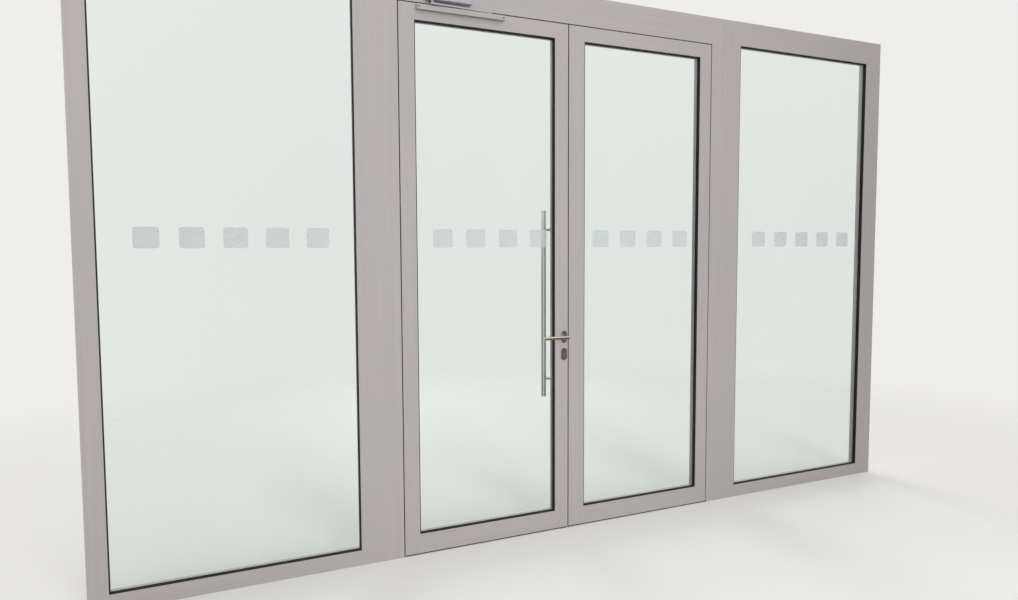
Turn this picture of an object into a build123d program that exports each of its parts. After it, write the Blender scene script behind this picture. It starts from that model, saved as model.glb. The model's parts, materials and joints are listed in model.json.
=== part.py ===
from build123d import *
import math
import os

# Glazed entrance screen: two fixed side lights beside a pair of outward-opening glass doors.
# Millimetres. X runs left to right as seen from the room, Y from the room to the vestibule, Z up.
# The origin is on the floor, midway between the jambs, in the middle of the frame's depth.

os.makedirs("parts", exist_ok=True)

# Profiles
frame_d = 60.0
wall = 2.0
lip_w = 22.0
lip_t = 3.0
rebate_w = 20.0
flange_t = 18.0
flange_gap = 6.0

# Widths seen from the room
left_jamb_w = 80.0
left_light_w = 1052.0
mullion_w = 208.0
active_w = 898.0
passive_w = 920.0
right_light_w = 1030.0
right_jamb_w = 124.0
hinge_gap = 5.0
meeting_gap = 6.0

# Heights
screen_h = 2802.0
light_head_h = 136.0
door_head_h = 149.0
sill_h = 72.0
head_gap = 5.0
floor_gap = 6.0

# Leaf members
stile_w = 76.0
keeper_stile_w = 92.0
bottom_rail_h = 96.0

# Glazing
glass_t = 9.0
glass_clear = 5.0
gasket_depth = 11.0
gasket_seen = 4.0
gasket_hidden = 7.0
gasket_proud = 1.0
bead_gasket_t = 4.0
bead_wall = 1.5
bead_bevel = 2.0
bead_joint = 0.3

# Seals
stop_seal_w = 8.0
stop_seal_clear = 0.3
meeting_seal_t = 2.5
meeting_seal_w = 10.0
meeting_seal_y = 16.0
brush_w = 5.0
brush_y = 12.0
brush_clear = 1.0
brush_inset = 3.0

# Hinges
hinge_end = 220.0
hinge_h = 120.0
knuckle_r = 9.0
knuckle_clear = 0.5
hinge_axis_out = 10.0
pin_r = 4.95
pin_bore_r = 5.0
pin_len = 48.0
wing_w = 26.0
wing_t = 6.0
wing_clear = 0.7

# Lock
backset = 25.0
lever_z = 1035.0
cylinder_drop = 92.0
forend_w = 24.0
forend_below = 147.0
forend_above = 103.0
case_t = 15.0
case_depth = 46.0
case_inset = 10.0
bolt_play = 0.5
latch_t = 11.0
latch_h = 25.0
latch_rise = 43.0
latch_throw = 12.0
latch_bevel = 11.5
latch_len = 46.0
latch_nose = 2.0
dead_t = 10.0
dead_h = 28.0
dead_drop = 36.0
dead_tail = 14.0
dead_throw = 20.0
dead_recess = 0.5
dead_len = dead_throw + dead_tail
keep_play = 2.0
spindle_side = 8.0
spindle_hole_r = 7.0
cylinder_r = 8.5
cylinder_leg_w = 10.0
cylinder_leg = 24.5
cylinder_play = 0.4
cylinder_proud = 1.0
plug_r = 6.5
plug_bore_r = 6.57
keyway_w = 2.2
keyway_h = 8.0
keyway_depth = 6.0

# Lever and its plates
plate_h = 65.0
plate_w = 33.0
plate_t = 8.0
neck_r = 9.0
neck_play = 0.3
neck_seat = 1.0
lever_reach = 137.0
lever_out = 47.0

# Pull bar
pull_r = 12.5
pull_wall = 1.5
pull_cap_t = 3.0
pull_len = 1000.0
pull_mid_z = 1200.0
pull_post_gap = 800.0
post_r = 8.0
post_edge = 20.0
post_out = 62.0

# Flush bolts of the passive leaf
rod_r = 6.0
rod_hole_r = 6.5
rod_in = 14.0
rod_y = -6.0
rod_recess = 2.0
rod_plate_end = 260.0
rod_throw = 18.0
rod_plate_w = 20.0
rod_plate_h = 160.0
rod_slot_w = 8.0
rod_slot_h = 40.0
rod_tab_w = 7.0
rod_tab_h = 14.0
rod_tab_recess = 0.3

# Door closer
closer_left = 138.0
closer_len = 220.0
closer_h = 60.0
closer_d = 40.0
closer_rise = 11.0
closer_round = 4.0
spindle_in = 26.0
spindle_r = 8.0
spindle_play = 0.3
spindle_depth = 12.0
arm_len = 300.0
arm_t = 6.0
arm_w = 16.0
arm_hub_r = 12.0
arm_below_head = 3.0
stud_r = 4.5
stud_len = 2.4
track_left = 90.0
track_len = 450.0
track_d = 22.0
track_h = 24.0
track_drop = 7.0
track_slot = 10.0
track_cap = 16.0
track_cap_round = 7.0
slider_len = 30.0
slider_h = 13.0
slider_play = 0.5
slider_boss_w = 9.0

# Wall anchors
anchor_r = 5.5
anchor_end = 200.0
anchor_count = 4

# Places along X
screen_w = (left_jamb_w + left_light_w + mullion_w + hinge_gap + active_w + meeting_gap
            + passive_w + hinge_gap + mullion_w + right_light_w + right_jamb_w)
screen_left = -screen_w / 2
screen_right = screen_w / 2
left_light_0 = screen_left + left_jamb_w
left_light_1 = left_light_0 + left_light_w
door_left = left_light_1 + mullion_w
active_hinge_x = door_left + hinge_gap
active_edge_x = active_hinge_x + active_w
passive_edge_x = active_edge_x + meeting_gap
passive_hinge_x = passive_edge_x + passive_w
door_right = passive_hinge_x + hinge_gap
right_light_0 = door_right + mullion_w
right_light_1 = right_light_0 + right_light_w

# Places along Y
room_y = -frame_d / 2
back_y = frame_d / 2
flange_y = back_y - flange_t
stop_y = flange_y - flange_gap
glass_y = room_y + lip_t + gasket_depth
glass_back_y = glass_y + glass_t
bead_y = glass_back_y + bead_gasket_t

# Places along Z
light_top = screen_h - light_head_h
door_soffit = screen_h - door_head_h
leaf_low = floor_gap
leaf_top = door_soffit - head_gap
glass_low = leaf_low + bottom_rail_h
glass_top = leaf_top - stile_w
flange_top = leaf_top + rebate_w
hinge_z = (leaf_low + hinge_end, (leaf_low + leaf_top) / 2, leaf_top - hinge_end)
anchor_pitch = (screen_h - 2 * anchor_end) / (anchor_count - 1)
forend_low = lever_z - forend_below
forend_high = lever_z + forend_above


def keep(piece, name):
    """Label a finished piece and write its file."""
    piece.part.label = name
    export_step(piece.part, f"parts/{name}.step")


def bar(a0, a1, b0, b1, mode=Mode.ADD):
    """Rectangle of a section between two limits each way."""
    with Locations(((a0 + a1) / 2, (b0 + b1) / 2)):
        Rectangle(a1 - a0, b1 - b0, mode=mode)


def block(x0, x1, y0, y1, z0, z1, mode=Mode.ADD):
    """Rectangular block between two limits each way."""
    with Locations(((x0 + x1) / 2, (y0 + y1) / 2, (z0 + z1) / 2)):
        Box(x1 - x0, y1 - y0, z1 - z0, mode=mode)


def upright_plane(x, side, low, high):
    """Section plane of an upright whose face grows from x towards side, extruded its whole height."""
    return Plane(origin=(x, 0, low if side > 0 else high), x_dir=(side, 0, 0), z_dir=(0, 0, side))


def rail_plane(z, side, left, right):
    """Section plane of a rail whose face grows from z towards side, extruded its whole length."""
    return Plane(origin=(right if side > 0 else left, 0, z), x_dir=(0, 0, side), z_dir=(-side, 0, 0))


def glazing_section(face_w, flange=False):
    """Hollow profile with a lip over the glass edge, and for a door leaf a flange behind the stop."""
    root = face_w - lip_w
    bar(0, root, room_y, back_y)
    bar(root, face_w, room_y, room_y + lip_t)
    bar(wall, root - wall, room_y + wall, back_y - wall, Mode.SUBTRACT)
    if flange:
        bar(-rebate_w, 0, flange_y, back_y)
        bar(wall - rebate_w, 0, flange_y + wall, back_y - wall, Mode.SUBTRACT)


def elevation_trim(points):
    """Keep only what lies inside an outline in front view: mitres, copes and milled-off lips."""
    with BuildSketch(Plane.XZ) as outline:
        with BuildLine():
            Polyline(*points, close=True)
        make_face()
    extrude(outline.sketch, amount=frame_d, both=True, mode=Mode.INTERSECT)


# Frame

def make_jamb(name, outer_x, side, face_w):
    """Outer upright: its lip is milled off where the sill and the head run past it."""
    root_x = outer_x + side * (face_w - lip_w)
    seen_x = outer_x + side * face_w
    with BuildPart() as jamb:
        with BuildSketch(upright_plane(outer_x, side, 0, screen_h)):
            glazing_section(face_w)
        extrude(amount=screen_h)
        elevation_trim([(outer_x, 0), (root_x, 0), (root_x, sill_h), (seen_x, sill_h),
                        (seen_x, light_top), (root_x, light_top), (root_x, screen_h), (outer_x, screen_h)])
        for anchor in range(anchor_count):
            z = anchor_end + anchor * anchor_pitch
            with Locations(Plane(origin=(outer_x, 0, z), z_dir=(-side, 0, 0))):
                Hole(radius=anchor_r, depth=wall)
    keep(jamb, name)


def make_mullion(name, light_x, side):
    """Upright between a side light and the doors: glazing lip on one side, door stop on the other."""
    root_x = light_x + side * lip_w
    door_x = light_x + side * mullion_w
    middle = (lip_w + mullion_w) / 2
    with BuildPart() as mullion:
        with BuildSketch(upright_plane(light_x, side, 0, screen_h)):
            bar(lip_w, mullion_w, room_y, stop_y)
            bar(lip_w, mullion_w - rebate_w, stop_y, back_y)
            bar(0, lip_w, room_y, room_y + lip_t)
            bar(lip_w + wall, middle - wall / 2, room_y + wall, back_y - wall, Mode.SUBTRACT)
            bar(middle + wall / 2, mullion_w - rebate_w - wall, room_y + wall, back_y - wall, Mode.SUBTRACT)
            bar(mullion_w - rebate_w, mullion_w - wall, room_y + wall, stop_y - wall, Mode.SUBTRACT)
        extrude(amount=screen_h)
        elevation_trim([(root_x, 0), (door_x, 0), (door_x, screen_h), (root_x, screen_h),
                        (root_x, light_top), (light_x, light_top), (light_x, sill_h), (root_x, sill_h)])
    keep(mullion, name)


def make_light_rail(name, outer_z, side, face_w, light_0, light_1):
    """Sill or head of a side light, butted between the roots of its uprights."""
    left = light_0 - lip_w
    right = light_1 + lip_w
    with BuildPart() as rail:
        with BuildSketch(rail_plane(outer_z, side, left, right)):
            glazing_section(face_w)
        extrude(amount=right - left)
    keep(rail, name)


def rod_x():
    """Line of the flush bolts, inside the passive leaf's meeting stile."""
    return passive_edge_x + rod_in


def make_door_head():
    """Head over the doors, notched at both ends round the noses of the mullions."""
    left = door_left - rebate_w
    right = door_right + rebate_w
    stop_h = door_head_h
    back_h = door_head_h - rebate_w
    with BuildPart() as head:
        with BuildSketch(rail_plane(screen_h, -1, left, right)):
            bar(0, stop_h, room_y, stop_y)
            bar(0, back_h, stop_y, back_y)
            bar(wall, back_h - wall, room_y + wall, back_y - wall, Mode.SUBTRACT)
            bar(back_h, stop_h - wall, room_y + wall, stop_y - wall, Mode.SUBTRACT)
        extrude(amount=right - left)
        block(left, door_left, room_y, stop_y, door_soffit, screen_h, Mode.SUBTRACT)
        block(door_right, right, room_y, stop_y, door_soffit, screen_h, Mode.SUBTRACT)
        with Locations(Plane(origin=(rod_x(), rod_y, door_soffit), z_dir=(0, 0, -1))):
            Hole(radius=rod_hole_r, depth=wall)
    keep(head, "door_head")


make_jamb("left_jamb", screen_left, 1, left_jamb_w)
make_jamb("right_jamb", screen_right, -1, right_jamb_w)
make_mullion("left_mullion", left_light_1, 1)
make_mullion("right_mullion", right_light_0, -1)
make_light_rail("left_sill", 0, 1, sill_h, left_light_0, left_light_1)
make_light_rail("right_sill", 0, 1, sill_h, right_light_0, right_light_1)
make_light_rail("left_head", screen_h, -1, light_head_h, left_light_0, left_light_1)
make_light_rail("right_head", screen_h, -1, light_head_h, right_light_0, right_light_1)
make_door_head()


# Glazing

def ring(x0, x1, z0, z1, grow_out, grow_in, y0, y1):
    """Rectangular ring round an opening, extruded from y0 to y1."""
    middle = ((x0 + x1) / 2, (z0 + z1) / 2)
    width = x1 - x0
    height = z1 - z0
    with BuildSketch(Plane.XZ.offset(-y0)) as band:
        with Locations(middle):
            Rectangle(width + 2 * grow_out, height + 2 * grow_out)
            Rectangle(width + 2 * grow_in, height + 2 * grow_in, mode=Mode.SUBTRACT)
    extrude(band.sketch, amount=y0 - y1)


def bead_section():
    """Hollow glazing bead with its seen corner bevelled; x grows from the root to the seen edge."""
    depth = back_y - bead_y
    with BuildSketch() as solid:
        with Locations((lip_w / 2, bead_y + depth / 2)):
            Rectangle(lip_w, depth)
        seen = solid.vertices().group_by(Axis.X)[-1].sort_by(Axis.Y)[-1]
        chamfer(seen, bead_bevel)
    add(solid.sketch)
    bar(bead_wall, lip_w - bead_wall, bead_y + bead_wall, back_y - bead_wall, Mode.SUBTRACT)


def make_beads(name, x0, x1, z0, z1):
    """Four snap-in beads behind the glass: the level ones run through, the upright ones stand between."""
    with BuildPart() as beads:
        for z, side in ((z0 - lip_w, 1), (z1 + lip_w, -1)):
            with BuildSketch(rail_plane(z, side, x0 - lip_w, x1 + lip_w)):
                bead_section()
            extrude(amount=x1 - x0 + 2 * lip_w)
        for x, side in ((x0 - lip_w, 1), (x1 + lip_w, -1)):
            with BuildSketch(upright_plane(x, side, z0 + bead_joint, z1 - bead_joint)):
                bead_section()
            extrude(amount=z1 - z0 - 2 * bead_joint)
    keep(beads, name)


def make_glazing(prefix, x0, x1, z0, z1):
    """Laminated pane of one opening with its two rubber gaskets and its beads."""
    bite = lip_w - glass_clear
    with BuildPart() as glass:
        block(x0 - bite, x1 + bite, glass_y, glass_back_y, z0 - bite, z1 + bite)
    keep(glass, f"{prefix}_glass")

    with BuildPart() as gaskets:
        ring(x0, x1, z0, z1, gasket_hidden, -gasket_seen, room_y + lip_t, glass_y)
        ring(x0, x1, z0, z1, 0, -gasket_seen, room_y + lip_t - gasket_proud, room_y + lip_t)
        ring(x0, x1, z0, z1, gasket_hidden, -gasket_seen, glass_back_y, bead_y)
    keep(gaskets, f"{prefix}_gaskets")
    make_beads(f"{prefix}_beads", x0, x1, z0, z1)


active_glass_0 = active_hinge_x + stile_w
active_glass_1 = active_edge_x - stile_w
passive_glass_0 = passive_edge_x + keeper_stile_w
passive_glass_1 = passive_hinge_x - stile_w
make_glazing("left_light", left_light_0, left_light_1, sill_h, light_top)
make_glazing("right_light", right_light_0, right_light_1, sill_h, light_top)
make_glazing("active", active_glass_0, active_glass_1, glass_low, glass_top)
make_glazing("passive", passive_glass_0, passive_glass_1, glass_low, glass_top)


# Lock pieces share these places
spindle_x = active_edge_x - backset
cylinder_z = lever_z - cylinder_drop
latch_z = lever_z + latch_rise
dead_z = lever_z - dead_drop
post_x = active_edge_x - post_edge
post_z = (pull_mid_z - pull_post_gap / 2, pull_mid_z + pull_post_gap / 2)
upper_plate_z = leaf_top - rod_plate_end
lower_plate_z = leaf_low + rod_plate_end


def cylinder_outline(play, mode=Mode.ADD):
    """Outline of a profile cylinder in front view: a round head over a straight leg."""
    with Locations((spindle_x, cylinder_z)):
        Circle(cylinder_r + play, mode=mode)
    with Locations((spindle_x, cylinder_z - cylinder_leg + cylinder_leg_w / 2)):
        Circle(cylinder_leg_w / 2 + play, mode=mode)
    with Locations((spindle_x, cylinder_z - (cylinder_leg - cylinder_leg_w / 2) / 2)):
        Rectangle(cylinder_leg_w + 2 * play, cylinder_leg - cylinder_leg_w / 2, mode=mode)


def cut_through_front(y0, y1):
    """Spindle hole and cylinder hole of the lock, cut from y0 to y1."""
    with BuildSketch(Plane.XZ.offset(-y0)) as holes:
        with Locations((spindle_x, lever_z)):
            Circle(spindle_hole_r)
        cylinder_outline(cylinder_play)
    extrude(holes.sketch, amount=y0 - y1, mode=Mode.SUBTRACT)


# Leaves

def make_hinge_stile(name, hinge_x, side):
    """Hinge upright of a leaf, mitred to the top rail, with the flange that closes on the frame."""
    root_x = hinge_x + side * (stile_w - lip_w)
    seen_x = hinge_x + side * stile_w
    out_x = hinge_x - side * rebate_w
    with BuildPart() as stile:
        with BuildSketch(upright_plane(hinge_x, side, leaf_low, flange_top)):
            glazing_section(stile_w, flange=True)
        extrude(amount=flange_top - leaf_low)
        elevation_trim([(out_x, leaf_low), (root_x, leaf_low), (root_x, glass_low), (seen_x, glass_low),
                        (seen_x, glass_top), (out_x, flange_top)])
    keep(stile, name)


def meeting_stile(edge_x, side, face_w):
    """Square-edged upright where the leaves meet, mitred to the top rail. Runs inside a part block."""
    root_x = edge_x + side * (face_w - lip_w)
    seen_x = edge_x + side * face_w
    with BuildSketch(upright_plane(edge_x, side, leaf_low, leaf_top)) as section:
        glazing_section(face_w)
    extrude(section.sketch, amount=leaf_top - leaf_low)
    elevation_trim([(edge_x, leaf_low), (root_x, leaf_low), (root_x, glass_low), (seen_x, glass_low),
                    (seen_x, glass_top), (edge_x, leaf_top)])


def make_lock_stile():
    """Meeting stile of the active leaf, cut for the lock."""
    with BuildPart() as stile:
        meeting_stile(active_edge_x, -1, stile_w)
        block(active_edge_x - wall, active_edge_x, -forend_w / 2, forend_w / 2,
              forend_low, forend_high, Mode.SUBTRACT)
        cut_through_front(room_y, room_y + wall)
        with BuildSketch(Plane.XZ.offset(-back_y)):
            cylinder_outline(cylinder_play)
        extrude(amount=wall, mode=Mode.SUBTRACT)
    keep(stile, "active_lock_stile")


def make_keeper_stile():
    """Meeting stile of the passive leaf, cut for the strike plate and the flush bolt plates."""
    with BuildPart() as stile:
        meeting_stile(passive_edge_x, 1, keeper_stile_w)
        block(passive_edge_x, passive_edge_x + wall, -forend_w / 2, forend_w / 2,
              forend_low, forend_high, Mode.SUBTRACT)
        for z in (upper_plate_z, lower_plate_z):
            block(passive_edge_x, passive_edge_x + wall, rod_y - rod_plate_w / 2, rod_y + rod_plate_w / 2,
                  z - rod_plate_h / 2, z + rod_plate_h / 2, Mode.SUBTRACT)
    keep(stile, "passive_keeper_stile")


def make_top_rail(name, hinge_x, side, edge_x, meeting_w, rod_hole):
    """Top rail of a leaf, mitred at both ends, with the flange above it."""
    out_x = hinge_x - side * rebate_w
    left = min(out_x, edge_x)
    right = max(out_x, edge_x)
    with BuildPart() as rail:
        with BuildSketch(rail_plane(leaf_top, -1, left, right)):
            glazing_section(stile_w, flange=True)
        extrude(amount=right - left)
        elevation_trim([(out_x, flange_top), (hinge_x + side * stile_w, glass_top),
                        (edge_x - side * meeting_w, glass_top), (edge_x, leaf_top), (edge_x, flange_top)])
        if rod_hole:
            with Locations(Plane(origin=(rod_x(), rod_y, leaf_top), z_dir=(0, 0, 1))):
                Hole(radius=rod_hole_r, depth=wall)
    keep(rail, name)


def make_bottom_rail(name, hinge_x, side, edge_x, meeting_w):
    """Bottom rail of a leaf, butted between the roots of its stiles."""
    root_a = hinge_x + side * (stile_w - lip_w)
    root_b = edge_x - side * (meeting_w - lip_w)
    left = min(root_a, root_b)
    right = max(root_a, root_b)
    with BuildPart() as rail:
        with BuildSketch(rail_plane(leaf_low, 1, left, right)):
            glazing_section(bottom_rail_h)
        extrude(amount=right - left)
    keep(rail, name)


def make_brush(name, hinge_x, side, edge_x):
    """Draught brush under a leaf."""
    left = min(hinge_x, edge_x) + brush_inset
    right = max(hinge_x, edge_x) - brush_inset
    with BuildPart() as brush:
        block(left, right, brush_y - brush_w / 2, brush_y + brush_w / 2, brush_clear, leaf_low)
    keep(brush, name)


make_hinge_stile("active_hinge_stile", active_hinge_x, 1)
make_hinge_stile("passive_hinge_stile", passive_hinge_x, -1)
make_lock_stile()
make_keeper_stile()
make_top_rail("active_top_rail", active_hinge_x, 1, active_edge_x, stile_w, False)
make_top_rail("passive_top_rail", passive_hinge_x, -1, passive_edge_x, keeper_stile_w, True)
make_bottom_rail("active_bottom_rail", active_hinge_x, 1, active_edge_x, stile_w)
make_bottom_rail("passive_bottom_rail", passive_hinge_x, -1, passive_edge_x, keeper_stile_w)
make_brush("active_brush", active_hinge_x, 1, active_edge_x)
make_brush("passive_brush", passive_hinge_x, -1, passive_edge_x)


# Seals

def make_stop_seal():
    """Rubber seal round three sides of the door stop, just clear of the closed leaves' flanges."""
    seal_in = (rebate_w + hinge_gap - stop_seal_w) / 2
    left = door_left - seal_in
    right = door_right + seal_in
    top = door_soffit + seal_in
    with BuildPart() as seal:
        with BuildSketch(Plane.XZ.offset(-stop_y)):
            with BuildLine():
                Polyline((left - stop_seal_w, 0), (left - stop_seal_w, top + stop_seal_w),
                         (right + stop_seal_w, top + stop_seal_w), (right + stop_seal_w, 0),
                         (right, 0), (right, top), (left, top), (left, 0), close=True)
            make_face()
        extrude(amount=-(flange_gap - stop_seal_clear))
    keep(seal, "stop_seal")


def make_meeting_seal():
    """Thin seal on the active leaf's meeting edge, clear of the passive leaf's swing."""
    with BuildPart() as seal:
        block(active_edge_x, active_edge_x + meeting_seal_t, meeting_seal_y,
              meeting_seal_y + meeting_seal_w, leaf_low, leaf_top)
    keep(seal, "meeting_seal")


make_stop_seal()
make_meeting_seal()


# Hinges

hinge_axis_y = back_y + hinge_axis_out


def make_hinges(prefix, edge_x, side):
    """Three lift-off hinges of one leaf; edge_x is the leaf's hinge edge, side points into the leaf."""
    axis_x = edge_x - side * (rebate_w + hinge_gap / 2)
    near = knuckle_r + wing_clear
    knuckle_h = (hinge_h - knuckle_clear) / 2

    def turned(radius, start, height, mode=Mode.ADD):
        """Round knuckle, pin or bore on the hinge axis."""
        with BuildSketch(Plane.XY.offset(start)) as section:
            with Locations((axis_x, hinge_axis_y)):
                Circle(radius)
        extrude(section.sketch, amount=height, mode=mode)

    def half(z, direction, start):
        """Flat wing on one side of the axis, joined to a knuckle that starts at the given height."""
        near_x = axis_x + direction * near
        far_x = near_x + direction * wing_w
        block(min(near_x, far_x), max(near_x, far_x), back_y, back_y + wing_t,
              z - hinge_h / 2, z + hinge_h / 2)
        block(min(axis_x, near_x), max(axis_x, near_x), hinge_axis_y - knuckle_r,
              back_y + wing_t, start, start + knuckle_h)
        turned(knuckle_r, start, knuckle_h)

    with BuildPart() as frame_wings:
        for z in hinge_z:
            half(z, -side, z - hinge_h / 2)
            turned(pin_r, z - knuckle_clear / 2, pin_len)
    keep(frame_wings, f"{prefix}_frame_wings")

    with BuildPart() as leaf_wings:
        for z in hinge_z:
            half(z, side, z + knuckle_clear / 2)
            turned(pin_bore_r, z + knuckle_clear / 2, pin_len, Mode.SUBTRACT)
    keep(leaf_wings, f"{prefix}_leaf_wings")


make_hinges("active_hinge", active_hinge_x, 1)
make_hinges("passive_hinge", passive_hinge_x, -1)


# Lock

def make_lock_case():
    """Narrow lock case inside the stile, open for the latch, the dead bolt, the spindle and the cylinder."""
    front = active_edge_x - wall
    with BuildPart() as case:
        block(front - case_depth, front, -case_t / 2, case_t / 2,
              forend_low + case_inset, forend_high - case_inset)
        block(front - case_depth + wall, front, -latch_t / 2 - bolt_play, latch_t / 2 + bolt_play,
              latch_z - latch_h / 2 - bolt_play, latch_z + latch_h / 2 + bolt_play, Mode.SUBTRACT)
        block(front - case_depth + wall, front, -dead_t / 2 - bolt_play, dead_t / 2 + bolt_play,
              dead_z - dead_h / 2 - bolt_play, dead_z + dead_h / 2 + bolt_play, Mode.SUBTRACT)
        cut_through_front(-case_t / 2, case_t / 2)
    keep(case, "lock_case")


def make_forend():
    """Forend plate let into the edge of the lock stile."""
    with BuildPart() as forend:
        block(active_edge_x - wall, active_edge_x, -forend_w / 2, forend_w / 2, forend_low, forend_high)
        with BuildSketch(Plane.YZ.offset(active_edge_x)):
            with Locations((0, latch_z)):
                Rectangle(latch_t + 2 * bolt_play, latch_h + 2 * bolt_play)
            with Locations((0, dead_z)):
                Rectangle(dead_t + 2 * bolt_play, dead_h + 2 * bolt_play)
        extrude(amount=-wall, mode=Mode.SUBTRACT)
    keep(forend, "lock_forend")


def make_latch():
    """Spring latch, bevelled on the side that meets the strike as the leaf closes."""
    tip = active_edge_x + latch_throw
    with BuildPart() as latch:
        block(tip - latch_len, tip, -latch_t / 2, latch_t / 2, latch_z - latch_h / 2, latch_z + latch_h / 2)
        edge = latch.edges().filter_by(Axis.Z).group_by(Axis.X)[-1].sort_by(Axis.Y)[0]
        chamfer(edge, latch_bevel, latch_t - latch_nose, reference=latch.faces().sort_by(Axis.Y)[0])
    keep(latch, "latch_bolt")


def make_dead_bolt():
    """Dead bolt, drawn back just inside its forend."""
    tip = active_edge_x - dead_recess
    with BuildPart() as bolt:
        block(tip - dead_len, tip, -dead_t / 2, dead_t / 2, dead_z - dead_h / 2, dead_z + dead_h / 2)
    keep(bolt, "dead_bolt")


def make_strike():
    """Strike plate let into the passive leaf, with a keep for the latch and one for the dead bolt."""
    with BuildPart() as strike:
        block(passive_edge_x, passive_edge_x + wall, -forend_w / 2, forend_w / 2, forend_low, forend_high)
        with BuildSketch(Plane.YZ.offset(passive_edge_x)):
            with Locations((0, latch_z)):
                Rectangle(latch_t + 2 * keep_play, latch_h + 2 * keep_play)
            with Locations((0, dead_z)):
                Rectangle(dead_t + 2 * keep_play, dead_h + 2 * keep_play)
        extrude(amount=wall, mode=Mode.SUBTRACT)
    keep(strike, "strike_plate")


cylinder_half = back_y + plate_t + cylinder_proud


def make_cylinder():
    """Profile cylinder through the stile, and the plug that turns in it."""
    with BuildPart() as body:
        with BuildSketch(Plane.XZ.offset(cylinder_half)):
            cylinder_outline(0)
            with Locations((spindle_x, cylinder_z)):
                Circle(plug_bore_r, mode=Mode.SUBTRACT)
        extrude(amount=-2 * cylinder_half)
    keep(body, "cylinder_body")

    with BuildPart() as plug:
        with BuildSketch(Plane.XZ.offset(cylinder_half)):
            with Locations((spindle_x, cylinder_z)):
                Circle(plug_r)
        extrude(amount=-2 * cylinder_half)
        for y, depth in ((-cylinder_half, -keyway_depth), (cylinder_half, keyway_depth)):
            with BuildSketch(Plane.XZ.offset(-y)):
                with Locations((spindle_x, cylinder_z)):
                    Rectangle(keyway_w, keyway_h)
            extrude(amount=depth, mode=Mode.SUBTRACT)
    keep(plug, "cylinder_plug")


def make_cover_plate(name, z, y, out, for_spindle):
    """Oval cover plate on a stile face; out is -1 on the room side and 1 on the vestibule side."""
    with BuildPart() as plate:
        with BuildSketch(Plane.XZ.offset(-y)):
            with Locations((spindle_x, z)):
                SlotOverall(plate_h, plate_w, rotation=90)
        extrude(amount=-out * plate_t)
        with BuildSketch(Plane.XZ.offset(-y)):
            if for_spindle:
                with Locations((spindle_x, z)):
                    Circle(neck_r + neck_play)
            else:
                cylinder_outline(cylinder_play)
        extrude(amount=-out * plate_t, mode=Mode.SUBTRACT)
    keep(plate, name)


def make_lever():
    """Round lever: neck out of its plate, mitred corner, and a straight grip towards the hinges."""
    start_y = room_y - neck_seat
    grip_y = room_y - lever_out
    with BuildPart() as lever:
        with BuildLine() as route:
            Polyline((spindle_x, start_y, lever_z), (spindle_x, grip_y, lever_z),
                     (spindle_x - lever_reach, grip_y, lever_z))
        with BuildSketch(Plane(origin=(spindle_x, start_y, lever_z), z_dir=(0, -1, 0))):
            Circle(neck_r)
        sweep(path=route.wire(), transition=Transition.RIGHT)
        block(spindle_x - spindle_side / 2, spindle_x + spindle_side / 2, start_y, case_t / 2 + wall,
              lever_z - spindle_side / 2, lever_z + spindle_side / 2)
    keep(lever, "lever_handle")


make_lock_case()
make_forend()
make_latch()
make_dead_bolt()
make_strike()
make_cylinder()
make_cover_plate("lever_rosette", lever_z, room_y, -1, True)
make_cover_plate("room_escutcheon", cylinder_z, room_y, -1, False)
make_cover_plate("outer_escutcheon", cylinder_z, back_y, 1, False)
make_lever()


# Pull bar on the vestibule side

pull_x = post_x - post_out
pull_y = back_y + post_out


def make_pull_bar():
    """Long round tube and the two flat caps that close its ends."""
    low = pull_mid_z - pull_len / 2
    with BuildPart() as tube:
        with BuildSketch(Plane.XY.offset(low + pull_cap_t)):
            with Locations((pull_x, pull_y)):
                Circle(pull_r)
                Circle(pull_r - pull_wall, mode=Mode.SUBTRACT)
        extrude(amount=pull_len - 2 * pull_cap_t)
    keep(tube, "pull_bar")

    with BuildPart() as caps:
        for start in (low, low + pull_len - pull_cap_t):
            with BuildSketch(Plane.XY.offset(start)):
                with Locations((pull_x, pull_y)):
                    Circle(pull_r)
            extrude(amount=pull_cap_t)
    keep(caps, "pull_bar_caps")


def make_pull_posts():
    """Two slanting posts, cut flat against the stile and hollowed to the bar."""
    slant = math.sqrt(2)
    with BuildPart() as posts:
        for z in post_z:
            with BuildSketch(Plane(origin=(post_x, back_y, z), z_dir=(-1, 1, 0))):
                Circle(post_r)
            extrude(amount=post_out * slant)
            with BuildSketch(Plane(origin=(post_x, back_y, z), z_dir=(1, -1, 0))):
                Circle(post_r)
            extrude(amount=post_r * slant)
        block(post_x - 3 * post_out, post_x + 3 * post_out, back_y - 3 * post_out, back_y,
              0, screen_h, Mode.SUBTRACT)
        with BuildSketch(Plane.XY):
            with Locations((pull_x, pull_y)):
                Circle(pull_r)
        extrude(amount=screen_h, mode=Mode.SUBTRACT)
    keep(posts, "pull_posts")


make_pull_bar()
make_pull_posts()


# Flush bolts in the edge of the passive leaf

def make_flush_plates():
    """Two slotted plates let into the meeting edge."""
    with BuildPart() as plates:
        for z in (upper_plate_z, lower_plate_z):
            block(passive_edge_x, passive_edge_x + wall, rod_y - rod_plate_w / 2, rod_y + rod_plate_w / 2,
                  z - rod_plate_h / 2, z + rod_plate_h / 2)
            block(passive_edge_x, passive_edge_x + wall, rod_y - rod_slot_w / 2, rod_y + rod_slot_w / 2,
                  z - rod_slot_h / 2, z + rod_slot_h / 2, Mode.SUBTRACT)
    keep(plates, "flush_bolt_plates")


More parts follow.
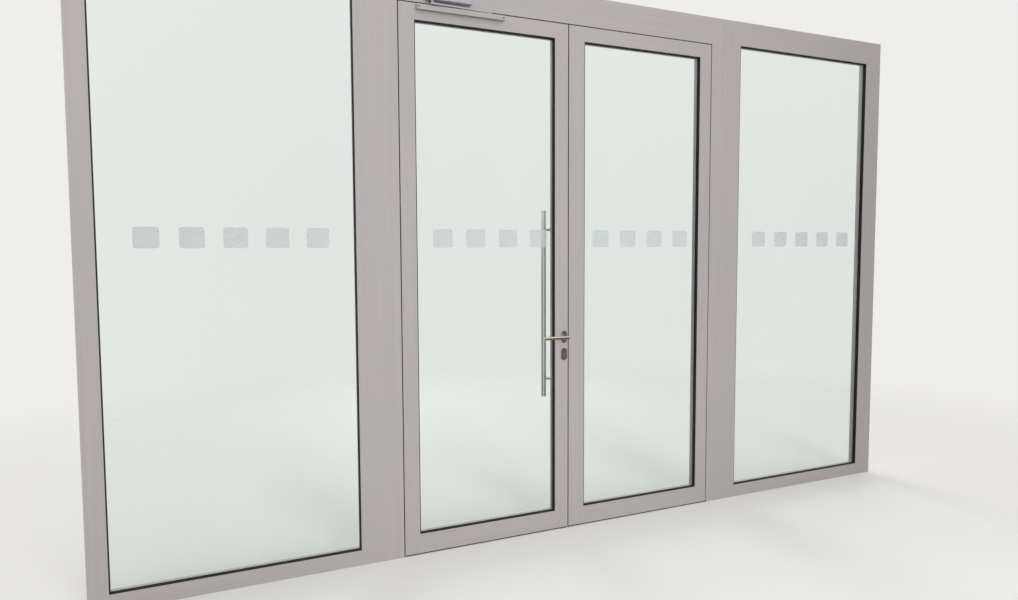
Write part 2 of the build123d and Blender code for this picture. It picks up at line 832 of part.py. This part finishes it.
def make_flush_bolt(name, tip_z, plate_z, up):
    """Round rod with the tab that slides in the plate's slot; up is 1 for the upper bolt."""
    tab_z = plate_z - up * rod_throw / 2
    with BuildPart() as bolt:
        with BuildSketch(Plane.XY.offset(tip_z)):
            with Locations((rod_x(), rod_y)):
                Circle(rod_r)
        extrude(amount=tab_z - tip_z - up * rod_tab_h / 2)
        block(passive_edge_x + rod_tab_recess, rod_x(), rod_y - rod_tab_w / 2, rod_y + rod_tab_w / 2,
              tab_z - rod_tab_h / 2, tab_z + rod_tab_h / 2)
    keep(bolt, name)


make_flush_plates()
make_flush_bolt("upper_flush_bolt", leaf_top - rod_recess, upper_plate_z, 1)
make_flush_bolt("lower_flush_bolt", leaf_low + rod_recess, lower_plate_z, -1)


# Door closer on the head, with its arm sliding in a track on the active leaf

closer_x = door_left + closer_left
closer_low = door_soffit + closer_rise
pivot_x = closer_x + spindle_in
pivot_y = room_y - closer_d / 2
track_x = door_left + track_left
track_top = leaf_top - track_drop
track_y = room_y - track_d / 2
arm_top = door_soffit - arm_below_head
arm_angle = math.asin((track_y - pivot_y) / arm_len)
arm_tip_x = pivot_x + arm_len * math.cos(arm_angle)


def make_closer_body():
    """Closer housing screwed to the head, with the spindle hole in its underside."""
    with BuildPart() as body:
        block(closer_x, closer_x + closer_len, room_y - closer_d, room_y, closer_low, closer_low + closer_h)
        outer = body.faces().sort_by(Axis.Y)[0].edges()
        fillet(outer, closer_round)
        with Locations(Plane(origin=(pivot_x, pivot_y, closer_low), z_dir=(0, 0, -1))):
            Hole(radius=spindle_r + spindle_play, depth=spindle_depth)
    keep(body, "closer_body")


def make_closer_arm():
    """Flat arm with its spindle above one end and the sliding stud below the other."""
    arm_low = arm_top - arm_t
    with BuildPart() as arm:
        with BuildSketch(Plane(origin=(pivot_x, pivot_y, arm_low),
                               x_dir=(math.cos(arm_angle), math.sin(arm_angle), 0), z_dir=(0, 0, 1))):
            with BuildLine():
                tip_arc = CenterArc((arm_len, 0), arm_w / 2, -90, 180)
                hub_arc = CenterArc((0, 0), arm_hub_r, 90, 180)
                Line(hub_arc @ 1, tip_arc @ 0)
                Line(tip_arc @ 1, hub_arc @ 0)
            make_face()
        extrude(amount=arm_t)
        with BuildSketch(Plane.XY.offset(arm_top)):
            with Locations((pivot_x, pivot_y)):
                Circle(spindle_r)
        extrude(amount=closer_low + spindle_depth - spindle_play - arm_top)
        with BuildSketch(Plane.XY.offset(arm_low)):
            with Locations((arm_tip_x, track_y)):
                Circle(stud_r)
        extrude(amount=-stud_len)
    keep(arm, "closer_arm")


def make_track():
    """Track with its slot on top, and the two rounded end caps that screw to the leaf."""
    track_low = track_top - track_h
    inner_left = track_x + track_cap
    inner_right = track_x + track_len - track_cap
    with BuildPart() as track:
        with BuildSketch(rail_plane(track_low, 1, inner_left, inner_right)):
            bar(0, track_h, room_y - track_d, room_y)
            bar(wall, track_h - wall, room_y - track_d + wall, room_y - wall, Mode.SUBTRACT)
            bar(track_h - wall, track_h, track_y - track_slot / 2, track_y + track_slot / 2, Mode.SUBTRACT)
        extrude(amount=inner_right - inner_left)
    keep(track, "closer_track")

    with BuildPart() as caps:
        for left, right, outer in ((track_x, inner_left, 0), (inner_right, track_x + track_len, -1)):
            with BuildPart(mode=Mode.PRIVATE) as cap:
                block(left, right, room_y - track_d, room_y, track_low, track_top)
                corner = cap.edges().filter_by(Axis.Z).group_by(Axis.X)[outer].sort_by(Axis.Y)[0]
                fillet(corner, track_cap_round)
            add(cap.part)
    keep(caps, "track_caps")


def make_slider():
    """Plastic slider in the track, with the boss that takes the arm's stud."""
    low = track_top - track_h + wall + slider_play
    high = low + slider_h
    half = (track_d - 2 * wall) / 2 - slider_play
    with BuildPart() as slider:
        block(arm_tip_x - slider_len / 2, arm_tip_x + slider_len / 2, track_y - half, track_y + half, low, high)
        block(arm_tip_x - slider_boss_w / 2, arm_tip_x + slider_boss_w / 2,
              track_y - slider_boss_w / 2, track_y + slider_boss_w / 2, high, track_top)
    keep(slider, "track_slider")


make_closer_body()
make_closer_arm()
make_track()
make_slider()
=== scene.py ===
import json
import math

import bmesh
import bpy
import numpy as np
from mathutils import Matrix, Vector


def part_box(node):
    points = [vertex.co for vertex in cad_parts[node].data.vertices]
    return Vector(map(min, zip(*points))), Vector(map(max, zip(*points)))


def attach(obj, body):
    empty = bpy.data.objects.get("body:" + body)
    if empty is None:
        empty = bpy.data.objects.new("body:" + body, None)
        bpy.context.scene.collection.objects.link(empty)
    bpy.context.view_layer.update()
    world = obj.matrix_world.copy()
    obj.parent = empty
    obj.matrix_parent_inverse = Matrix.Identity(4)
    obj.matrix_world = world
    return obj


# Glazed entrance screen: two hinged glass leaves between fixed side lights, seen from the room.
# Metres. X runs left to right as seen from the room, Y from the room to the vestibule, Z up.

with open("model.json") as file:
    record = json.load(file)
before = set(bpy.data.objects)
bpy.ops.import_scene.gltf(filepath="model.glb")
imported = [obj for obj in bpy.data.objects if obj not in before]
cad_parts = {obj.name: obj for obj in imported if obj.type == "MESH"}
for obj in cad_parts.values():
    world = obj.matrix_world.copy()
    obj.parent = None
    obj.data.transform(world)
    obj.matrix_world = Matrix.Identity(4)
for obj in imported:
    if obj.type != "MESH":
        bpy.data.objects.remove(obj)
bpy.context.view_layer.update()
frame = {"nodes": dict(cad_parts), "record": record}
nodes = frame["nodes"]


# Finishes

def paint(red, green, blue):
    """Linear colour of a display colour given from 0 to 255."""
    shown = np.array([red, green, blue]) / 255
    linear = np.where(shown <= 0.04045, shown / 12.92, ((shown + 0.055) / 1.055) ** 2.4)
    return (*(float(part) for part in linear), 1.0)


class Wire:
    """An output socket. Arithmetic with other wires or numbers adds the Math nodes it stands for."""

    def __init__(self, shader, socket):
        self.shader = shader
        self.socket = socket

    def maths(self, operation, first, second):
        return self.shader.node("ShaderNodeMath", {"operation": operation}, {0: first, 1: second})

    def __add__(self, other):
        return self.maths("ADD", self, other)

    def __radd__(self, other):
        return self.maths("ADD", other, self)

    def __sub__(self, other):
        return self.maths("SUBTRACT", self, other)

    def __rsub__(self, other):
        return self.maths("SUBTRACT", other, self)

    def __mul__(self, other):
        return self.maths("MULTIPLY", self, other)

    def __rmul__(self, other):
        return self.maths("MULTIPLY", other, self)


class Shader:
    """The node tree of one finish, or of the studio's air."""

    def __init__(self, tree):
        self.tree = tree
        self.tree.nodes.clear()

    def node(self, kind, settings=None, sockets=None, output=0):
        """Adds a node: first its settings, then the value or wire of each socket; gives one output."""
        made = self.tree.nodes.new(kind)
        for key, value in (settings or {}).items():
            setattr(made, key, value)
        for key, value in (sockets or {}).items():
            if isinstance(value, Wire):
                self.tree.links.new(value.socket, made.inputs[key])
            else:
                made.inputs[key].default_value = value
        return Wire(self, made.outputs[output]) if len(made.outputs) else None

    def place(self, scale=(1.0, 1.0, 1.0)):
        """Object coordinates, stretched or squeezed along each axis."""
        where = self.node("ShaderNodeTexCoord", output="Object")
        return self.node("ShaderNodeMapping", {}, {"Vector": where, "Scale": scale})

    def noise(self, where, scale, detail=3.0, rough=0.5):
        """Smooth random values from 0 to 1."""
        return self.node("ShaderNodeTexNoise", {},
                         {"Vector": where, "Scale": scale, "Detail": detail, "Roughness": rough})

    def spread(self, wire, low, high, to_low=0.0, to_high=1.0):
        """Values between two limits taken to another pair of limits, and held there outside them."""
        return self.node("ShaderNodeMapRange", {"clamp": True},
                         {0: wire, 1: low, 2: high, 3: to_low, 4: to_high})

    def tint(self, factor, first, second):
        """One colour over another by a factor."""
        return self.node("ShaderNodeMix", {"data_type": "RGBA"}, {0: factor, 6: first, 7: second}, output=2)

    def over(self, factor, first, second):
        """One surface over another by a factor."""
        return self.node("ShaderNodeMixShader", {}, {0: factor, 1: first, 2: second})

    def bump(self, height, depth):
        """Normals of a surface raised by a height between 0 and 1, times a depth in metres."""
        return self.node("ShaderNodeBump", {}, {"Strength": 1.0, "Distance": depth, "Height": height})

    def clear(self, colour=(1.0, 1.0, 1.0, 1.0)):
        """Surface that lets everything straight through, tinted by a colour."""
        return self.node("ShaderNodeBsdfTransparent", {}, {"Color": colour})

    def surface(self, **sockets):
        """Principled surface; words in the socket names are joined by underscores."""
        named = {key.replace("_", " "): value for key, value in sockets.items()}
        return self.node("ShaderNodeBsdfPrincipled", {}, named)

    def output(self, surface):
        self.node("ShaderNodeOutputMaterial", {}, {"Surface": surface})


def finish(name):
    """A new material and the shader that is built in it."""
    material = bpy.data.materials.new(name)
    material.use_nodes = True
    return material, Shader(material.node_tree)


def coated(name, stretch):
    """Warm grey satin coating: faint streaks along the profile, fine flakes and a soft orange peel."""
    material, shader = finish(name)
    streaks = shader.noise(shader.place(stretch), scale=90.0, detail=4.0, rough=0.6)
    clouds = shader.noise(shader.place(), scale=1.7)
    flakes = shader.noise(shader.place(), scale=2600.0, detail=2.0)
    grain = shader.noise(shader.place(), scale=700.0, detail=2.0)
    body = shader.tint(shader.spread(streaks, 0.3, 0.7), paint(174, 168, 166), paint(181, 175, 172))
    toned = shader.tint(shader.spread(clouds, 0.35, 0.65, 0.0, 0.3), body, paint(171, 168, 169))
    spotted = shader.tint(shader.spread(flakes, 0.55, 0.75, 0.0, 0.3), toned, paint(202, 197, 196))
    rough = 0.34 + 0.08 * streaks + 0.06 * flakes
    shader.output(shader.surface(Base_Color=spotted, Roughness=rough, Metallic=0.3,
                                 Normal=shader.bump(grain, depth=0.00004)))
    return material


def laminated_glass():
    """Clear pane with a faint green cast that lets lamps through, and a trace of dust and wiping marks."""
    material, shader = finish("laminated_glass")
    cast = paint(244, 249, 247)
    clouds = shader.noise(shader.place((1.0, 1.0, 0.45)), scale=2.2, detail=4.0, rough=0.6)
    haze = shader.spread(clouds, 0.45, 0.75, 0.0, 0.035)
    pane = shader.surface(Base_Color=cast, Roughness=0.0, IOR=1.5, Transmission_Weight=1.0)
    dust = shader.surface(Base_Color=paint(225, 228, 228), Roughness=0.6)
    lamp_ray = shader.node("ShaderNodeLightPath", output="Is Shadow Ray")
    shader.output(shader.over(lamp_ray, shader.over(haze, pane, dust), shader.clear(cast)))
    return material


def frosted_film():
    """Thin etched film: a milky matt white that lets most of the light through."""
    material, shader = finish("frosted_film")
    grain = shader.noise(shader.place(), scale=900.0, detail=2.0)
    milk = shader.surface(Base_Color=paint(186, 192, 189), Roughness=0.7,
                          Normal=shader.bump(grain, depth=0.00002))
    cover = shader.spread(grain, 0.2, 0.8, 0.34, 0.4)
    shader.output(shader.over(cover, shader.clear(), milk))
    return material


def moulded(name, dark, light, rough, grain_scale=420.0):
    """Moulded rubber or plastic: slight mottling and a fine eggshell grain."""
    material, shader = finish(name)
    mottle = shader.noise(shader.place(), scale=35.0, detail=4.0)
    grain = shader.noise(shader.place(), scale=grain_scale, detail=2.0)
    colour = shader.tint(shader.spread(mottle, 0.3, 0.7), dark, light)
    shader.output(shader.surface(Base_Color=colour, Roughness=rough + 0.12 * mottle,
                                 Normal=shader.bump(grain, depth=0.00008)))
    return material


def bristles():
    """Dense upright bristles: fine vertical threads in near black."""
    material, shader = finish("draught_bristles")
    threads = shader.noise(shader.place((1.0, 1.0, 0.02)), scale=2200.0, detail=2.0, rough=0.8)
    colour = shader.tint(shader.spread(threads, 0.35, 0.65), paint(16, 16, 17), paint(58, 57, 56))
    shader.output(shader.surface(Base_Color=colour, Roughness=0.85,
                                 Normal=shader.bump(threads, depth=0.0006)))
    return material


def brushed(name, dark, light, stretch, rough):
    """Brushed or satin metal: hair-fine lines drawn out along one direction."""
    material, shader = finish(name)
    lines = shader.noise(shader.place(stretch), scale=900.0, rough=0.7)
    clouds = shader.noise(shader.place(), scale=22.0)
    colour = shader.tint(shader.spread(lines, 0.3, 0.7), dark, light)
    shader.output(shader.surface(Base_Color=colour, Metallic=1.0,
                                 Roughness=rough + 0.14 * lines + 0.08 * clouds,
                                 Normal=shader.bump(lines, depth=0.00003)))
    return material


# The stretch of each finish is smallest along the line in which its streaks run.
EVEN = (1.0, 1.0, 1.0)
upright_coat = coated("upright_coat", (1.0, 1.0, 0.012))
rail_coat = coated("rail_coat", (0.012, 1.0, 1.0))
bead_coat = coated("bead_coat", (0.4, 1.0, 0.4))
hinge_coat = coated("hinge_coat", (1.0, 1.0, 0.2))
glass = laminated_glass()
frosted = frosted_film()
black_rubber = moulded("black_rubber", paint(5, 5, 6), paint(14, 14, 14), 0.62)
bristle = bristles()
satin_nickel = brushed("satin_nickel", paint(176, 170, 160), paint(202, 195, 184), (0.05, 1.0, 1.0), 0.12)
cylinder_nickel = brushed("cylinder_nickel", paint(196, 190, 178), paint(222, 216, 204), EVEN, 0.16)
brushed_steel = brushed("brushed_steel", paint(190, 190, 186), paint(224, 224, 220), (1.0, 1.0, 0.02), 0.08)
bright_steel = brushed("bright_steel", paint(196, 196, 194), paint(218, 218, 216), (1.0, 1.0, 0.03), 0.16)
dark_steel = brushed("dark_steel", paint(70, 70, 71), paint(98, 97, 96), EVEN, 0.3)
closer_silver = moulded("closer_silver", paint(163, 161, 167), paint(169, 167, 173), 0.3, 900.0)
anodised = brushed("anodised", paint(184, 181, 176), paint(205, 202, 197), (0.01, 1.0, 1.0), 0.3)
grey_plastic = moulded("grey_plastic", paint(160, 156, 152), paint(178, 174, 170), 0.42)

UPRIGHTS = ("jamb", "mullion", "stile")
RAILS = ("sill", "head", "rail")
FINISHES = {
    "glass": glass, "rubber": black_rubber, "brush": bristle, "lever_metal": satin_nickel,
    "brushed_steel": brushed_steel, "bright_steel": bright_steel, "hinge_metal": hinge_coat,
    "closer_paint": closer_silver, "track_aluminium": anodised, "plastic": grey_plastic,
}

# Width of the eased edges of each material slot, and the parts whose flat faces are broken by holes.
EASED = {"frame_paint": 0.0006, "lever_metal": 0.0014, "brushed_steel": 0.0004, "hinge_metal": 0.0006}
HOLED = ("jamb", "lock_stile", "beads", "rosette", "escutcheon")


def finish_of(name, kind):
    """The finish of a CAD part by its slot; the coating's streaks run along upright and level profiles."""
    if kind == "frame_paint":
        last_word = name.split("_")[-1]
        if last_word in UPRIGHTS:
            return upright_coat
        return rail_coat if last_word in RAILS else bead_coat
    if name.startswith("cylinder"):
        return cylinder_nickel
    return FINISHES[kind]


def ease_edges(name, width):
    """Rounds the sharp edges of a part as its coating does, which also shows its joints as fine grooves.
    Where holes break up a flat face, its triangles are first joined, so that the rounding can't fold them."""
    weld = nodes[name].modifiers.new("weld", "WELD")
    weld.merge_threshold = 0.00001
    if name.endswith(HOLED):
        flats = nodes[name].modifiers.new("whole_flats", "DECIMATE")
        flats.decimate_type = "DISSOLVE"
        flats.angle_limit = math.radians(0.5)
    bevel = nodes[name].modifiers.new("eased_edges", "BEVEL")
    bevel.width = width
    bevel.segments = 2
    bevel.limit_method = "ANGLE"
    bevel.angle_limit = math.radians(50)
    bevel.harden_normals = True


for part in frame["record"]["subparts"]:
    materials = nodes[part["node"]].data.materials
    materials.clear()
    materials.append(finish_of(part["node"], part["material_slot"]))
    if part["material_slot"] in EASED:
        ease_edges(part["node"], EASED[part["material_slot"]])


# Small pieces

def outline(angles, corners):
    """Reach of an outline at each angle: 0 a circle, 4 a softened rectangle, 6 a hexagon.
    The rectangle is the curve where the twelfth powers of cosine and sine add up to one, and the
    hexagon's side keeps its distance, so its reach is cos 30 over the cosine from the side's middle."""
    if corners == 4:
        return (np.abs(np.cos(angles)) ** 12 + np.abs(np.sin(angles)) ** 12) ** (-1 / 12)
    if corners == 6:
        return math.cos(math.pi / 6) / np.cos(angles % (math.pi / 3) - math.pi / 6)
    return np.ones_like(angles)


def formed(name, places, axis, rings, body, material, steps=24, smooth=False):
    """Copies of one small form: closed rings stacked along an axis, at each of several places.
    A ring is (half width, half height, distance along the axis, corners). A point is the place, plus
    cosine of the angle times half width along the first side direction, plus sine times half height
    along the second, both times the outline's reach, plus the distance along the axis."""
    axis = np.array(axis, float)
    side = np.array((0.0, 0.0, 1.0)) if abs(axis[2]) < 0.5 else np.array((0.0, 1.0, 0.0))
    first = np.cross(side, axis)
    angles = np.arange(steps) * 2 * math.pi / steps
    wide, tall, along, corners = (np.array(column, float) for column in zip(*rings))
    reach = np.array([outline(angles, kind) for kind in corners])
    across = (reach * np.cos(angles) * wide[:, None])[..., None] * first
    upward = (reach * np.sin(angles) * tall[:, None])[..., None] * side
    shape = across + upward + along[:, None, None] * axis
    points = np.array(places, float)[:, None, None, :] + shape
    count, levels = points.shape[:2]
    start = (np.arange(count)[:, None, None] * levels + np.arange(levels - 1)[:, None]) * steps
    here = start + np.arange(steps)
    ahead = start + (np.arange(steps) + 1) % steps
    faces = np.stack([here, ahead, ahead + steps, here + steps], -1).reshape(-1, 4)
    mesh = bpy.data.meshes.new(name)
    mesh.from_pydata(points.reshape(-1, 3), [], faces.tolist())
    welded = bmesh.new()
    welded.from_mesh(mesh)
    bmesh.ops.remove_doubles(welded, verts=welded.verts, dist=0.000002)
    welded.to_mesh(mesh)
    welded.free()
    if smooth:
        mesh.shade_smooth()
    else:
        mesh.shade_flat()
    mesh.materials.append(material)
    piece = bpy.data.objects.new(name, mesh)
    bpy.context.scene.collection.objects.link(piece)
    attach(piece, body)


def block_rings(half_width, half_height, thickness):
    """Block with softened corners, from the middle of one face round the rim to the middle of the other."""
    return [(0, 0, 0, 4), (half_width, half_height, 0, 4), (half_width, half_height, thickness, 4),
            (0, 0, thickness, 4)]


def screw_rings(radius, rise):
    """Low screw head with a hexagonal socket, from its sunk back round the rim and down the socket."""
    return [(0, 0, -0.0004, 0), (radius, radius, -0.0004, 0), (radius, radius, 0.4 * rise, 0),
            (0.82 * radius, 0.82 * radius, rise, 0), (0.5 * radius, 0.5 * radius, rise, 6),
            (0.46 * radius, 0.46 * radius, 0.15 * rise, 6), (0, 0, 0.1 * rise, 0)]


# Body, middle of the first square and number of squares of each pane's row.
SQUARE_ROWS = {
    "left_light_squares": ("frame", -2.003, 5), "right_light_squares": ("frame", 1.288, 5),
    "active_squares": ("left_leaf", -0.711, 4), "passive_squares": ("right_leaf", 0.183, 4),
}
SQUARE_Z = 1.55
SQUARE_PITCH = 0.174


def frosted_rows():
    """One row of plain frosted squares across each pane, at eye level on the room side."""
    pane_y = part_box("active_glass")[0].y
    film = block_rings(half_width=0.05, half_height=0.045, thickness=0.0002)
    for name, (body, start, count) in SQUARE_ROWS.items():
        places = [(start + SQUARE_PITCH * index, pane_y, SQUARE_Z) for index in range(count)]
        formed(name, places, (0, -1, 0), film, body, frosted, steps=48)


# First and last stile, name and body of each leaf.
LEAF_FEET = (("active_hinge_stile", "active_lock_stile", "active", "left_leaf"),
             ("passive_keeper_stile", "passive_hinge_stile", "passive", "right_leaf"))
LIP_END_GAP = 0.002
LIP_SET_BACK = 0.003
LIP_DROP = 0.0025


def gap_shade_lips():
    """A thin black lip under the foot of each leaf, near its room face: painted shade that darkens the gap to
    the floor, where the shadow under the leaf falls.
    """
    for left, right, prefix, body in LEAF_FEET:
        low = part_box(left)[0]
        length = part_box(right)[1].x - low.x - 2 * LIP_END_GAP
        lip = block_rings(half_width=0.0012, half_height=0.0026, thickness=length)
        start = (low.x + LIP_END_GAP, low.y + LIP_SET_BACK, low.z - LIP_DROP)
        # Painted shade: a black lip that darkens the gap under the leaf.
        formed(f"{prefix}_gap_shade_lip", [start], (1, 0, 0), lip, body, black_rubber)


KNUCKLE_R = 0.009
HINGE_HALF = 0.06
WING_SCREW_OUT = 0.024
WING_SCREW_IN = 0.013
WING_SCREW_DROPS = (-0.046, -0.016, 0.016, 0.046)
CAP_RINGS = [(0, 0, 0, 0), (KNUCKLE_R, KNUCKLE_R, 0, 0), (KNUCKLE_R, KNUCKLE_R, 0.0012, 0),
             (0.0081, 0.0081, 0.0026, 0), (0.0056, 0.0056, 0.0035, 0), (0, 0, 0.0038, 0)]
NYLON_BORE_R = 0.0052
NYLON_R = 0.0088
NYLON_HALF = 0.00024
NYLON_RINGS = [(radius, radius, level, 0) for radius, level in (
    (NYLON_BORE_R, -NYLON_HALF), (NYLON_R, -NYLON_HALF), (NYLON_R, NYLON_HALF),
    (NYLON_BORE_R, NYLON_HALF), (NYLON_BORE_R, -NYLON_HALF))]


def hinge_fittings():
    """Screws in the hinge wings, domed caps on the knuckles and a nylon ring between each pair."""
    screws = screw_rings(0.0038, 0.0009)
    for prefix, body, side in (("active_hinge", "left_leaf", 1), ("passive_hinge", "right_leaf", -1)):
        low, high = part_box(f"{prefix}_leaf_wings")
        pin_x = low.x + KNUCKLE_R if side > 0 else high.x - KNUCKLE_R
        pin_y = high.y - KNUCKLE_R
        middles = (low.z + HINGE_HALF, (low.z + high.z) / 2, high.z - HINGE_HALF)
        for half, rider, way in (("leaf", body, side), ("frame", "frame", -side)):
            places = [(pin_x + way * WING_SCREW_OUT, high.y - WING_SCREW_IN, z + drop)
                      for z in middles for drop in WING_SCREW_DROPS]
            formed(f"{prefix}_{half}_screws", places, (0, 1, 0), screws, rider,
                   bright_steel, steps=12)
        for end, rider, way in (("upper", body, 1), ("lower", "frame", -1)):
            formed(f"{prefix}_{end}_caps", [(pin_x, pin_y, z + way * HINGE_HALF) for z in middles],
                   (0, 0, way), CAP_RINGS, rider, grey_plastic, smooth=True)
        formed(f"{prefix}_rings", [(pin_x, pin_y, z) for z in middles], (0, 0, 1), NYLON_RINGS,
               "frame", black_rubber)


CYLINDER_Z = 0.943
LEVER_X = -0.05
LEVER_UNDERSIDE_Z = 1.0261
NECK_OUT = 0.006
STRIP_SCREW_IN = 0.009
PLATE_SCREW_NEAR = 0.012
PLATE_SCREW_FAR = 0.148


def lock_fittings():
    """Screws of the forend, the strike and the flush bolt plates, and the lever's grub screw."""
    countersunk = screw_rings(0.0036, 0.00035)
    foot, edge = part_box("lock_forend")
    ends = (foot.z + STRIP_SCREW_IN, edge.z - STRIP_SCREW_IN)
    formed("forend_screws", [(edge.x, 0, z) for z in (*ends, CYLINDER_Z)], (1, 0, 0), countersunk,
           "left_leaf", bright_steel, steps=12)
    strike_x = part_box("strike_plate")[0].x
    formed("strike_screws", [(strike_x, 0, z) for z in ends], (-1, 0, 0), countersunk,
           "right_leaf", bright_steel, steps=12)
    low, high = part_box("flush_bolt_plates")
    heights = (low.z + PLATE_SCREW_NEAR, low.z + PLATE_SCREW_FAR,
               high.z - PLATE_SCREW_FAR, high.z - PLATE_SCREW_NEAR)
    formed("flush_plate_screws", [(low.x, (low.y + high.y) / 2, z) for z in heights], (-1, 0, 0),
           countersunk, "right_leaf", bright_steel, steps=12)
    neck_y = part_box("lever_rosette")[0].y - NECK_OUT
    formed("lever_grub_screw", [(LEVER_X, neck_y, LEVER_UNDERSIDE_Z)], (0, 0, -1),
           screw_rings(0.0022, 0.0001), "lever", dark_steel, steps=12)


TRACK_SCREW_IN = 0.0085
# Shallow disc, drawn black as painted shade in each screw hole of the track.
TRACK_WELL = [(0, 0, -0.0003, 0), (0.0036, 0.0036, -0.0003, 0), (0.0036, 0.0036, 0.0002, 0),
              (0.003, 0.003, 0.0002, 0), (0, 0, -0.0001, 0)]
END_RISE = 0.002
END_PLATE = [(0, 0, 0, 4), (0.0185, 0.0285, 0, 4), (0.0185, 0.0285, 0.0012, 4),
             (0.0172, 0.0272, END_RISE, 4), (0, 0, END_RISE, 4)]
VALVE_DROPS = (-0.012, 0.012)


def closer_fittings():
    """Black discs in the track's screw holes, painted shade that stands in for the dark of the holes; the
    closer's two valves and its end caps.
    """
    cap_low, cap_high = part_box("track_caps")
    middle = (cap_low.z + cap_high.z) / 2
    places = [(x, cap_low.y, middle) for x in (cap_low.x + TRACK_SCREW_IN, cap_high.x - TRACK_SCREW_IN)]
    # Painted shade: black discs that darken the track's screw holes.
    formed("track_hole_shade", places, (0, -1, 0), TRACK_WELL, "left_leaf", black_rubber)
    low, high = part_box("closer_body")
    y, z = (low.y + high.y) / 2, (low.z + high.z) / 2
    for end, x, way in (("left", low.x, -1), ("right", high.x, 1)):
        formed(f"closer_{end}_end", [(x, y, z)], (way, 0, 0), END_PLATE, "frame",
               closer_silver, steps=48)
    formed("closer_valves", [(high.x + END_RISE, y, z + drop) for drop in VALVE_DROPS], (1, 0, 0),
           screw_rings(0.0042, 0.0006), "frame", bright_steel)


frosted_rows()
gap_shade_lips()
hinge_fittings()
lock_fittings()
closer_fittings()


# Studio

scene = bpy.context.scene
scene.view_settings.view_transform = "Standard"

FLOOR_HALF = 30.0
FLOOR_Z = -0.0003
FADE_START = 2.3
FADE_END = 6.0


def studio_floor():
    """Pale matt floor that fades out into the air of the studio far from the object."""
    material, shader = finish("studio_floor")
    where = shader.node("ShaderNodeTexCoord", output="Object")
    reach = shader.node("ShaderNodeVectorMath", {"operation": "LENGTH"}, {0: where}, output="Value")
    fade = shader.node("ShaderNodeMapRange", {"interpolation_type": "SMOOTHSTEP"},
                       {0: reach, 1: FADE_START, 2: FADE_END})
    matt = shader.surface(Base_Color=paint(226, 225, 222), Roughness=0.6)
    shader.output(shader.over(fade, matt, shader.clear()))
    corners = [(x * FLOOR_HALF, y * FLOOR_HALF, FLOOR_Z) for x, y in ((-1, -1), (1, -1), (1, 1), (-1, 1))]
    mesh = bpy.data.meshes.new("studio_floor")
    mesh.from_pydata(corners, [], [(0, 1, 2, 3)])
    mesh.materials.append(material)
    floor = bpy.data.objects.new("studio_floor", mesh)
    floor.visible_glossy = False
    scene.collection.objects.link(floor)


AIR_COLOUR = (1.0, 0.992, 0.978, 1.0)
SEEN_STRENGTH = 0.86
BRIGHT_WALL = (-0.48, -0.87, 0.1)


def studio_air():
    """Pale air, nearly white where it is seen; its light grows from the horizon upwards. Metal
    mirrors it bright overhead and towards the left of the room, and dark elsewhere."""
    world = bpy.data.worlds.new("studio_air")
    world.use_nodes = True
    scene.world = world
    shader = Shader(world.node_tree)
    seen = shader.node("ShaderNodeLightPath", output="Is Camera Ray")
    mirrored = shader.node("ShaderNodeLightPath", output="Is Glossy Ray")
    through = shader.node("ShaderNodeLightPath", output="Is Transmission Ray")
    way = shader.node("ShaderNodeTexCoord")
    height = shader.node("ShaderNodeSeparateXYZ", {}, {0: way}, output="Z")
    leftward = shader.node("ShaderNodeVectorMath", {"operation": "DOT_PRODUCT"},
                           {0: way, 1: BRIGHT_WALL}, output="Value")
    light = shader.spread(height, 0.0, 1.0, 0.2, 1.22)
    plain = light + (seen + through) * (SEEN_STRENGTH - light)
    mirror = shader.spread(height, 0.05, 0.55, 0.19, 1.5) + shader.spread(leftward, 0.8, 0.99)
    strength = plain + mirrored * (1.0 - through) * (mirror - plain)
    air = shader.node("ShaderNodeBackground", {}, {"Color": AIR_COLOUR, "Strength": strength})
    shader.node("ShaderNodeOutputWorld", {}, {"Surface": air})


def soft_lamp(name, place, target, width, height, power):
    """Soft box that faces a point, and is neither seen nor mirrored itself."""
    data = bpy.data.lights.new(name, "AREA")
    data.shape = "RECTANGLE"
    data.size = width
    data.size_y = height
    data.spread = math.radians(80)
    data.energy = power
    data.color = (0.93, 0.95, 1.0)
    lamp = bpy.data.objects.new(name, data)
    lamp.location = place
    lamp.rotation_euler = (Vector(target) - Vector(place)).to_track_quat("-Z", "Y").to_euler()
    lamp.visible_camera = False
    lamp.visible_glossy = False
    lamp.visible_transmission = False
    scene.collection.objects.link(lamp)


def room_camera():
    """Eye level in the room, left of the doors, turned towards the right-hand light."""
    place = Vector((-1.8535, -3.339, 1.497))
    yaw = math.radians(24.22)
    pitch = math.radians(3.76)
    roll = math.radians(-0.23)
    ahead = Vector((math.sin(yaw) * math.cos(pitch), math.cos(yaw) * math.cos(pitch), -math.sin(pitch)))
    level = Vector((math.cos(yaw), -math.sin(yaw), 0.0))
    upward = level.cross(ahead)
    right = math.cos(roll) * level + math.sin(roll) * upward
    up = math.cos(roll) * upward - math.sin(roll) * level
    data = bpy.data.cameras.new("room_camera")
    data.sensor_width = 36.0
    data.lens = 25.32
    data.shift_y = -0.0039
    camera = bpy.data.objects.new("room_camera", data)
    turned = Matrix((right, up, -ahead)).transposed().to_4x4()
    camera.matrix_world = Matrix.Translation(place) @ turned
    scene.collection.objects.link(camera)
    scene.camera = camera


studio_floor()
studio_air()
soft_lamp("room_lamp", place=(0.1, -7.5, 2.2), target=(-0.4, 0.0, 1.15), width=3.0, height=2.0, power=93.0)
soft_lamp("vestibule_lamp", place=(1.0, 8.0, 2.6), target=(0.3, 0.0, 1.3), width=4.0, height=2.0, power=75.0)
room_camera()
